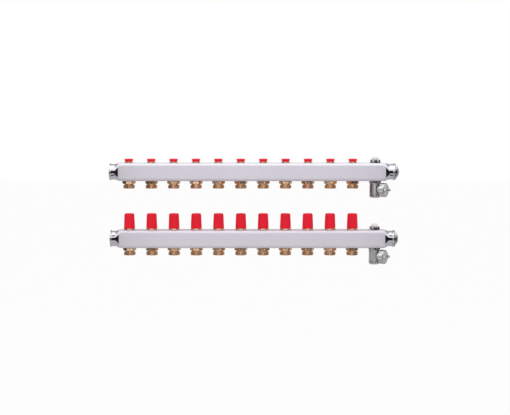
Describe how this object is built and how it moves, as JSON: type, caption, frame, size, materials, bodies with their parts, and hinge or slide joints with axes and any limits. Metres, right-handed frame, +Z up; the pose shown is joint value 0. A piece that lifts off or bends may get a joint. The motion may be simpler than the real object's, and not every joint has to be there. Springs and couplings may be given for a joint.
{
  "type": "underfloor heating manifold",
  "caption": "Underfloor heating manifold of square stainless bars with brass outlets, red hand-cap and balancing valves, air vents and capped drain valves.",
  "frame": {"origin": "centre of the lower bar's back face, on the bar's mid length", "axes": "+X along the bars from the open inlets to the plugs and drains, +Y out of the back, +Z up; the front faces -Y"},
  "size_m": [0.6458, 0.0496, 0.2411],
  "materials": {
    "stainless": "satin",
    "brass": "turned",
    "red_plastic": "gloss",
    "nickel": "polished",
    "white_plastic": "gloss",
    "rubber": "matte",
    "pin_steel": "ground"
  },
  "bodies": {
    "bars": {"upper_bar": "stainless", "lower_bar": "stainless", "upper_outlets": "brass", "lower_outlets": "brass", "outlet_gaskets": "rubber", "balancing_inserts": "brass", "valve_inserts": "brass", "insert_gaskets": "rubber", "gland_nuts": "brass", "return_springs": "pin_steel", "stem_seals": "rubber", "retaining_rings": "pin_steel", "end_plugs": "nickel", "plug_gaskets": "rubber", "vent_bodies": "nickel", "drain_bodies": "nickel", "fitting_gaskets": "rubber"},
    "hand_cap_01": {"hand_cap_01": "red_plastic"},
    "hand_cap_02": {"hand_cap_02": "red_plastic"},
    "hand_cap_03": {"hand_cap_03": "red_plastic"},
    "hand_cap_04": {"hand_cap_04": "red_plastic"},
    "hand_cap_05": {"hand_cap_05": "red_plastic"},
    "hand_cap_06": {"hand_cap_06": "red_plastic"},
    "hand_cap_07": {"hand_cap_07": "red_plastic"},
    "hand_cap_08": {"hand_cap_08": "red_plastic"},
    "hand_cap_09": {"hand_cap_09": "red_plastic"},
    "hand_cap_10": {"hand_cap_10": "red_plastic"},
    "hand_cap_11": {"hand_cap_11": "red_plastic"},
    "valve_pin_01": {"valve_pin_01": "pin_steel"},
    "valve_pin_02": {"valve_pin_02": "pin_steel"},
    "valve_pin_03": {"valve_pin_03": "pin_steel"},
    "valve_pin_04": {"valve_pin_04": "pin_steel"},
    "valve_pin_05": {"valve_pin_05": "pin_steel"},
    "valve_pin_06": {"valve_pin_06": "pin_steel"},
    "valve_pin_07": {"valve_pin_07": "pin_steel"},
    "valve_pin_08": {"valve_pin_08": "pin_steel"},
    "valve_pin_09": {"valve_pin_09": "pin_steel"},
    "valve_pin_10": {"valve_pin_10": "pin_steel"},
    "valve_pin_11": {"valve_pin_11": "pin_steel"},
    "balancing_spindle_01": {"balancing_spindle_01": "red_plastic"},
    "balancing_spindle_02": {"balancing_spindle_02": "red_plastic"},
    "balancing_spindle_03": {"balancing_spindle_03": "red_plastic"},
    "balancing_spindle_04": {"balancing_spindle_04": "red_plastic"},
    "balancing_spindle_05": {"balancing_spindle_05": "red_plastic"},
    "balancing_spindle_06": {"balancing_spindle_06": "red_plastic"},
    "balancing_spindle_07": {"balancing_spindle_07": "red_plastic"},
    "balancing_spindle_08": {"balancing_spindle_08": "red_plastic"},
    "balancing_spindle_09": {"balancing_spindle_09": "red_plastic"},
    "balancing_spindle_10": {"balancing_spindle_10": "red_plastic"},
    "balancing_spindle_11": {"balancing_spindle_11": "red_plastic"},
    "upper_vent_knob": {"upper_vent_knob": "white_plastic"},
    "upper_vent_needle": {"upper_vent_needle": "pin_steel"},
    "upper_drain_knob": {"upper_drain_knob": "nickel"},
    "upper_drain_cap": {"upper_drain_cap": "nickel"},
    "upper_drain_washer": {"upper_drain_washer": "rubber"},
    "lower_vent_knob": {"lower_vent_knob": "white_plastic"},
    "lower_vent_needle": {"lower_vent_needle": "pin_steel"},
    "lower_drain_knob": {"lower_drain_knob": "nickel"},
    "lower_drain_cap": {"lower_drain_cap": "nickel"},
    "lower_drain_washer": {"lower_drain_washer": "rubber"}
  },
  "joints": [
    {"name": "pin_slide_01", "type": "slide", "parent": "bars", "child": "valve_pin_01", "axis": [0, 0, 1], "range_m": [0, 0.00225], "deforming": ["return_springs"]},
    {"name": "cap_turn_01", "type": "hinge", "parent": "valve_pin_01", "child": "hand_cap_01", "pos_m": [-0.275, -0.02, 0.04], "axis": [0, 0, 1], "range_deg": [0, 540]},
    {"name": "balance_turn_01", "type": "hinge", "parent": "bars", "child": "balancing_spindle_01", "pos_m": [-0.275, -0.02, 0.17], "axis": [0, 0, -1], "range_deg": [0, 180]},
    {"name": "pin_slide_02", "type": "slide", "parent": "bars", "child": "valve_pin_02", "axis": [0, 0, 1], "range_m": [0, 0.00225], "deforming": ["return_springs"]},
    {"name": "cap_turn_02", "type": "hinge", "parent": "valve_pin_02", "child": "hand_cap_02", "pos_m": [-0.225, -0.02, 0.04], "axis": [0, 0, 1], "range_deg": [0, 540]},
    {"name": "balance_turn_02", "type": "hinge", "parent": "bars", "child": "balancing_spindle_02", "pos_m": [-0.225, -0.02, 0.17], "axis": [0, 0, -1], "range_deg": [0, 180]},
    {"name": "pin_slide_03", "type": "slide", "parent": "bars", "child": "valve_pin_03", "axis": [0, 0, 1], "range_m": [0, 0.00225], "deforming": ["return_springs"]},
    {"name": "cap_turn_03", "type": "hinge", "parent": "valve_pin_03", "child": "hand_cap_03", "pos_m": [-0.175, -0.02, 0.04], "axis": [0, 0, 1], "range_deg": [0, 540]},
    {"name": "balance_turn_03", "type": "hinge", "parent": "bars", "child": "balancing_spindle_03", "pos_m": [-0.175, -0.02, 0.17], "axis": [0, 0, -1], "range_deg": [0, 180]},
    {"name": "pin_slide_04", "type": "slide", "parent": "bars", "child": "valve_pin_04", "axis": [0, 0, 1], "range_m": [0, 0.00225], "deforming": ["return_springs"]},
    {"name": "cap_turn_04", "type": "hinge", "parent": "valve_pin_04", "child": "hand_cap_04", "pos_m": [-0.125, -0.02, 0.04], "axis": [0, 0, 1], "range_deg": [0, 540]},
    {"name": "balance_turn_04", "type": "hinge", "parent": "bars", "child": "balancing_spindle_04", "pos_m": [-0.125, -0.02, 0.17], "axis": [0, 0, -1], "range_deg": [0, 180]},
    {"name": "pin_slide_05", "type": "slide", "parent": "bars", "child": "valve_pin_05", "axis": [0, 0, 1], "range_m": [0, 0.00225], "deforming": ["return_springs"]},
    {"name": "cap_turn_05", "type": "hinge", "parent": "valve_pin_05", "child": "hand_cap_05", "pos_m": [-0.075, -0.02, 0.04], "axis": [0, 0, 1], "range_deg": [0, 540]},
    {"name": "balance_turn_05", "type": "hinge", "parent": "bars", "child": "balancing_spindle_05", "pos_m": [-0.075, -0.02, 0.17], "axis": [0, 0, -1], "range_deg": [0, 180]},
    {"name": "pin_slide_06", "type": "slide", "parent": "bars", "child": "valve_pin_06", "axis": [0, 0, 1], "range_m": [0, 0.00225], "deforming": ["return_springs"]},
    {"name": "cap_turn_06", "type": "hinge", "parent": "valve_pin_06", "child": "hand_cap_06", "pos_m": [-0.025, -0.02, 0.04], "axis": [0, 0, 1], "range_deg": [0, 540]},
    {"name": "balance_turn_06", "type": "hinge", "parent": "bars", "child": "balancing_spindle_06", "pos_m": [-0.025, -0.02, 0.17], "axis": [0, 0, -1], "range_deg": [0, 180]},
    {"name": "pin_slide_07", "type": "slide", "parent": "bars", "child": "valve_pin_07", "axis": [0, 0, 1], "range_m": [0, 0.00225], "deforming": ["return_springs"]},
    {"name": "cap_turn_07", "type": "hinge", "parent": "valve_pin_07", "child": "hand_cap_07", "pos_m": [0.025, -0.02, 0.04], "axis": [0, 0, 1], "range_deg": [0, 540]},
    {"name": "balance_turn_07", "type": "hinge", "parent": "bars", "child": "balancing_spindle_07", "pos_m": [0.025, -0.02, 0.17], "axis": [0, 0, -1], "range_deg": [0, 180]},
    {"name": "pin_slide_08", "type": "slide", "parent": "bars", "child": "valve_pin_08", "axis": [0, 0, 1], "range_m": [0, 0.00225], "deforming": ["return_springs"]},
    {"name": "cap_turn_08", "type": "hinge", "parent": "valve_pin_08", "child": "hand_cap_08", "pos_m": [0.075, -0.02, 0.04], "axis": [0, 0, 1], "range_deg": [0, 540]},
    {"name": "balance_turn_08", "type": "hinge", "parent": "bars", "child": "balancing_spindle_08", "pos_m": [0.075, -0.02, 0.17], "axis": [0, 0, -1], "range_deg": [0, 180]},
    {"name": "pin_slide_09", "type": "slide", "parent": "bars", "child": "valve_pin_09", "axis": [0, 0, 1], "range_m": [0, 0.00225], "deforming": ["return_springs"]},
    {"name": "cap_turn_09", "type": "hinge", "parent": "valve_pin_09", "child": "hand_cap_09", "pos_m": [0.125, -0.02, 0.04], "axis": [0, 0, 1], "range_deg": [0, 540]},
    {"name": "balance_turn_09", "type": "hinge", "parent": "bars", "child": "balancing_spindle_09", "pos_m": [0.125, -0.02, 0.17], "axis": [0, 0, -1], "range_deg": [0, 180]},
    {"name": "pin_slide_10", "type": "slide", "parent": "bars", "child": "valve_pin_10", "axis": [0, 0, 1], "range_m": [0, 0.00225], "deforming": ["return_springs"]},
    {"name": "cap_turn_10", "type": "hinge", "parent": "valve_pin_10", "child": "hand_cap_10", "pos_m": [0.175, -0.02, 0.04], "axis": [0, 0, 1], "range_deg": [0, 540]},
    {"name": "balance_turn_10", "type": "hinge", "parent": "bars", "child": "balancing_spindle_10", "pos_m": [0.175, -0.02, 0.17], "axis": [0, 0, -1], "range_deg": [0, 180]},
    {"name": "pin_slide_11", "type": "slide", "parent": "bars", "child": "valve_pin_11", "axis": [0, 0, 1], "range_m": [0, 0.00225], "deforming": ["return_springs"]},
    {"name": "cap_turn_11", "type": "hinge", "parent": "valve_pin_11", "child": "hand_cap_11", "pos_m": [0.225, -0.02, 0.04], "axis": [0, 0, 1], "range_deg": [0, 540]},
    {"name": "balance_turn_11", "type": "hinge", "parent": "bars", "child": "balancing_spindle_11", "pos_m": [0.225, -0.02, 0.17], "axis": [0, 0, -1], "range_deg": [0, 180]},
    {"name": "upper_vent_lift", "type": "slide", "parent": "bars", "child": "upper_vent_needle", "axis": [0, 0, 1], "range_m": [0, 0.001]},
    {"name": "upper_vent_turn", "type": "hinge", "parent": "upper_vent_needle", "child": "upper_vent_knob", "pos_m": [0.275, -0.02, 0.18], "axis": [0, 0, 1], "range_deg": [0, 360]},
    {"name": "upper_drain_turn", "type": "hinge", "parent": "bars", "child": "upper_drain_knob", "pos_m": [0.275, -0.02, 0.1], "axis": [0, 0, 1], "range_deg": [0, 90]},
    {"name": "upper_cap_travel", "type": "slide", "parent": "bars", "child": "upper_drain_washer", "axis": [0.848, -0.5299, 0], "range_m": [0, 0.00907]},
    {"name": "upper_cap_turn", "type": "hinge", "parent": "upper_drain_washer", "child": "upper_drain_cap", "pos_m": [0.275, -0.02, 0.11], "axis": [0.848, -0.5299, 0], "range_deg": [0, 1800]},
    {"name": "lower_vent_lift", "type": "slide", "parent": "bars", "child": "lower_vent_needle", "axis": [0, 0, 1], "range_m": [0, 0.001]},
    {"name": "lower_vent_turn", "type": "hinge", "parent": "lower_vent_needle", "child": "lower_vent_knob", "pos_m": [0.275, -0.02, 0.03], "axis": [0, 0, 1], "range_deg": [0, 360]},
    {"name": "lower_drain_turn", "type": "hinge", "parent": "bars", "child": "lower_drain_knob", "pos_m": [0.275, -0.02, -0.05], "axis": [0, 0, 1], "range_deg": [0, 90]},
    {"name": "lower_cap_travel", "type": "slide", "parent": "bars", "child": "lower_drain_washer", "axis": [0.848, -0.5299, 0], "range_m": [0, 0.00907]},
    {"name": "lower_cap_turn", "type": "hinge", "parent": "lower_drain_washer", "child": "lower_drain_cap", "pos_m": [0.275, -0.02, -0.04], "axis": [0.848, -0.5299, 0], "range_deg": [0, 1800]}
  ],
  "couplings": [
    {"joint": "cap_turn_01", "follows": "pin_slide_01", "rad_per_m": 4188.8},
    {"joint": "cap_turn_02", "follows": "pin_slide_02", "rad_per_m": 4188.8},
    {"joint": "cap_turn_03", "follows": "pin_slide_03", "rad_per_m": 4188.8},
    {"joint": "cap_turn_04", "follows": "pin_slide_04", "rad_per_m": 4188.8},
    {"joint": "cap_turn_05", "follows": "pin_slide_05", "rad_per_m": 4188.8},
    {"joint": "cap_turn_06", "follows": "pin_slide_06", "rad_per_m": 4188.8},
    {"joint": "cap_turn_07", "follows": "pin_slide_07", "rad_per_m": 4188.8},
    {"joint": "cap_turn_08", "follows": "pin_slide_08", "rad_per_m": 4188.8},
    {"joint": "cap_turn_09", "follows": "pin_slide_09", "rad_per_m": 4188.8},
    {"joint": "cap_turn_10", "follows": "pin_slide_10", "rad_per_m": 4188.8},
    {"joint": "cap_turn_11", "follows": "pin_slide_11", "rad_per_m": 4188.8},
    {"joint": "upper_vent_turn", "follows": "upper_vent_lift", "rad_per_m": 6283.2},
    {"joint": "upper_cap_turn", "follows": "upper_cap_travel", "rad_per_m": 3463.7},
    {"joint": "lower_vent_turn", "follows": "lower_vent_lift", "rad_per_m": 6283.2},
    {"joint": "lower_cap_turn", "follows": "lower_cap_travel", "rad_per_m": 3463.7}
  ]
}
